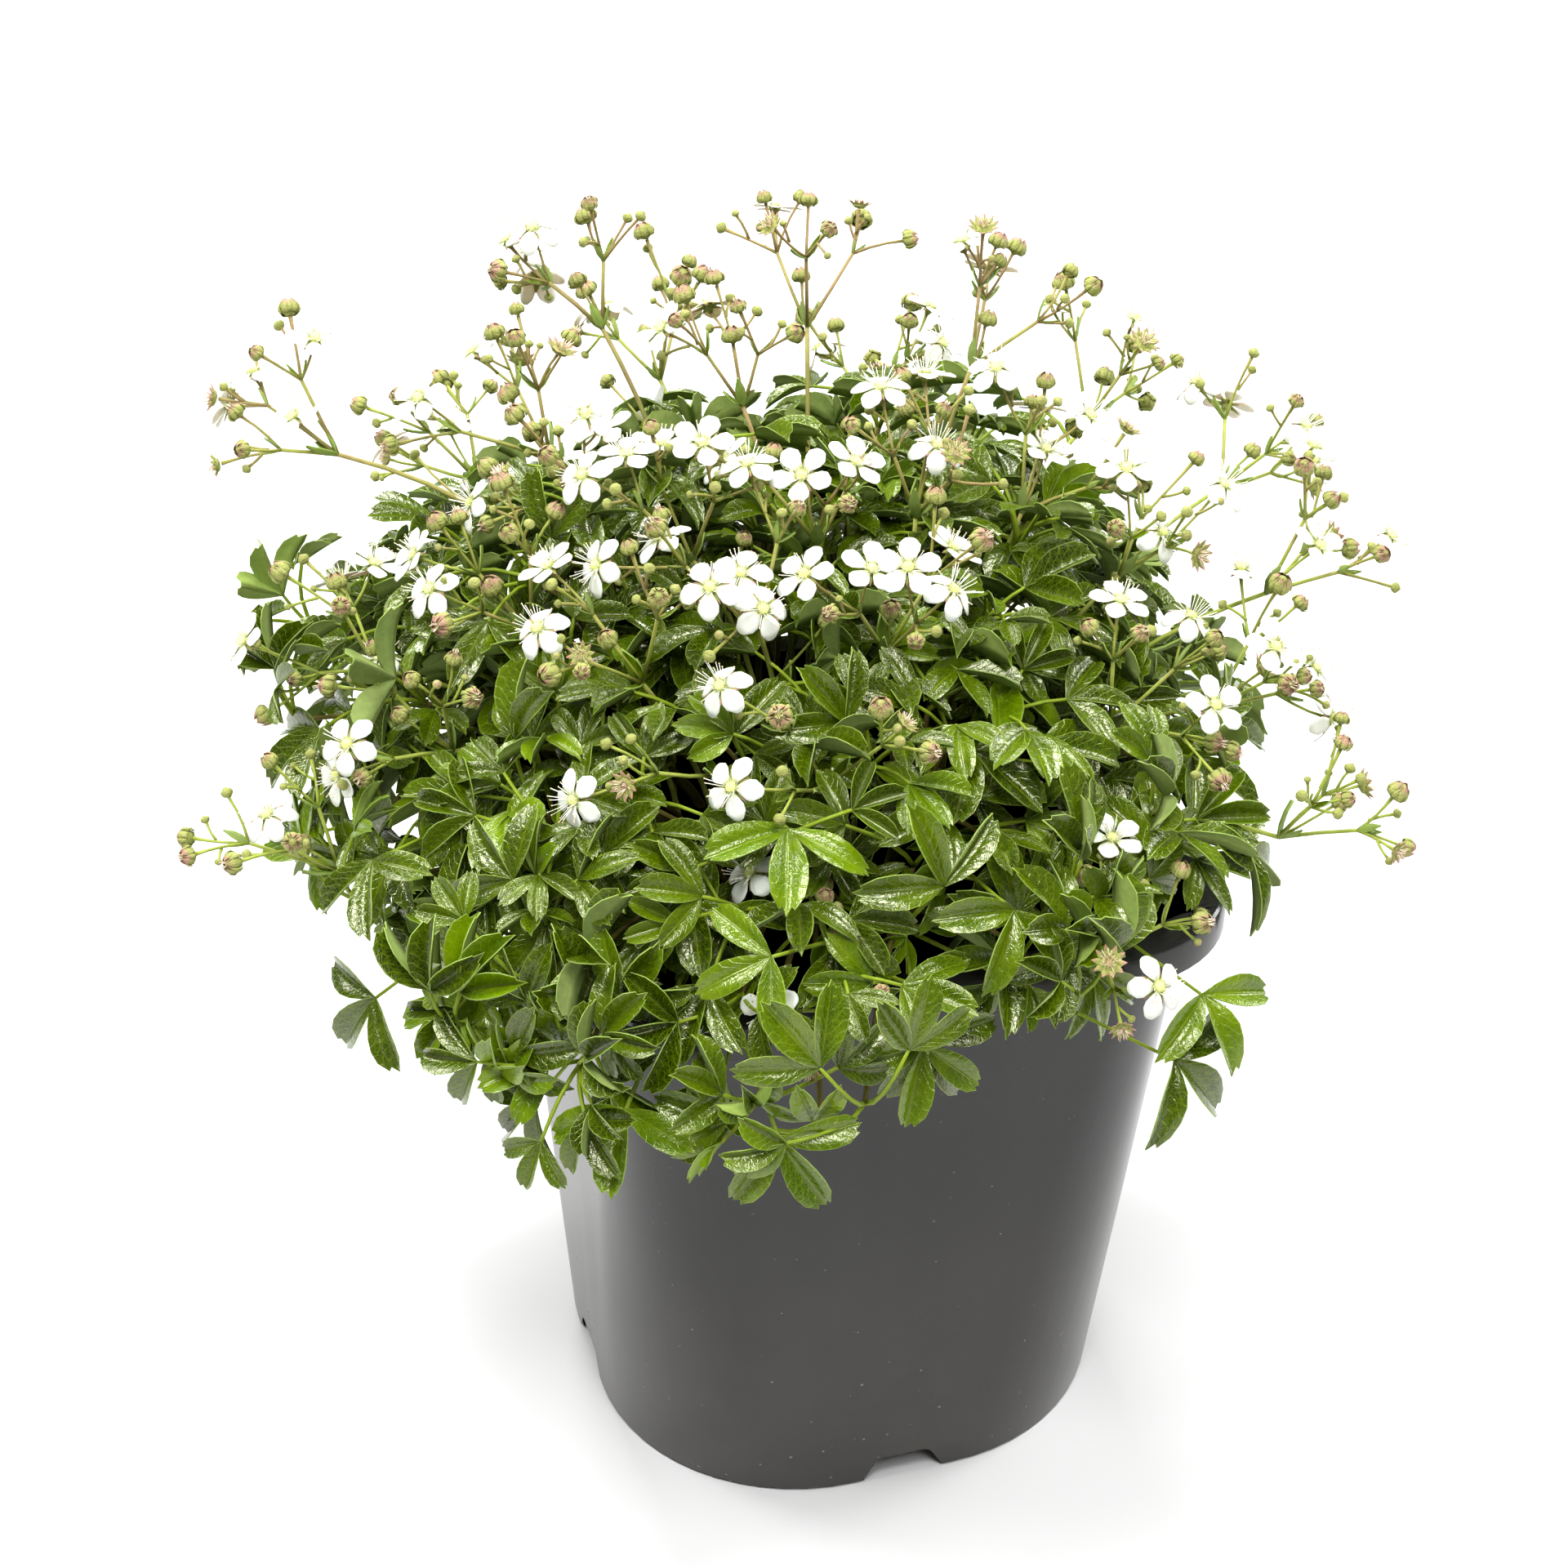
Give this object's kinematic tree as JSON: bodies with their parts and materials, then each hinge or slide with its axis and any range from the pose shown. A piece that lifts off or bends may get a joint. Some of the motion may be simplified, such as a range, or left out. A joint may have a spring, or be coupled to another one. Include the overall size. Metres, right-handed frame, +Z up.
{
  "type": "potted three-toothed cinquefoil",
  "caption": "Low mounded perennial with three-toothed trifoliate leaves and white five-petalled flower sprays, in a square-rimmed nursery pot of soil.",
  "frame": {"origin": "middle of the pot's flat underside, on the pot's axis", "axes": "+Z up along the pot's axis; +X and +Y square to two of its sides, with -Y the side seen most"},
  "size_m": [0.2442, 0.2056, 0.2389],
  "materials": {
    "pot_plastic": "matte anthracite",
    "soil": "dark moist potting soil",
    "leaves": "glossy leaf",
    "sprays": "soft petal and stem"
  },
  "bodies": {
    "root": {"pot": "pot_plastic", "shoot_01": "leaves", "shoot_02": "leaves", "shoot_03": "leaves", "shoot_04": "leaves", "shoot_05": "leaves", "shoot_06": "leaves", "shoot_07": "leaves", "shoot_08": "leaves", "shoot_09": "leaves", "shoot_10": "leaves", "shoot_11": "leaves", "shoot_12": "leaves", "shoot_13": "leaves", "shoot_14": "leaves", "shoot_15": "leaves", "shoot_16": "leaves", "shoot_17": "leaves", "shoot_18": "leaves", "shoot_19": "leaves", "shoot_20": "leaves", "shoot_21": "leaves", "shoot_22": "leaves", "shoot_23": "leaves", "shoot_24": "leaves", "shoot_25": "leaves", "shoot_26": "leaves", "soil": "soil", "spray_01": "sprays", "spray_02": "sprays", "spray_03": "sprays", "spray_04": "sprays", "spray_05": "sprays", "spray_06": "sprays", "spray_07": "sprays", "spray_08": "sprays", "spray_09": "sprays", "spray_10": "sprays", "spray_11": "sprays", "spray_12": "sprays", "spray_13": "sprays", "spray_14": "sprays", "spray_15": "sprays", "spray_16": "sprays", "spray_17": "sprays", "spray_18": "sprays", "spray_19": "sprays", "spray_20": "sprays", "spray_21": "sprays", "spray_22": "sprays", "spray_23": "sprays", "spray_24": "sprays", "spray_25": "sprays", "spray_26": "sprays", "spray_27": "sprays", "spray_28": "sprays", "spray_29": "sprays", "spray_30": "sprays", "spray_31": "sprays", "spray_32": "sprays"}
  },
  "joints": []
}
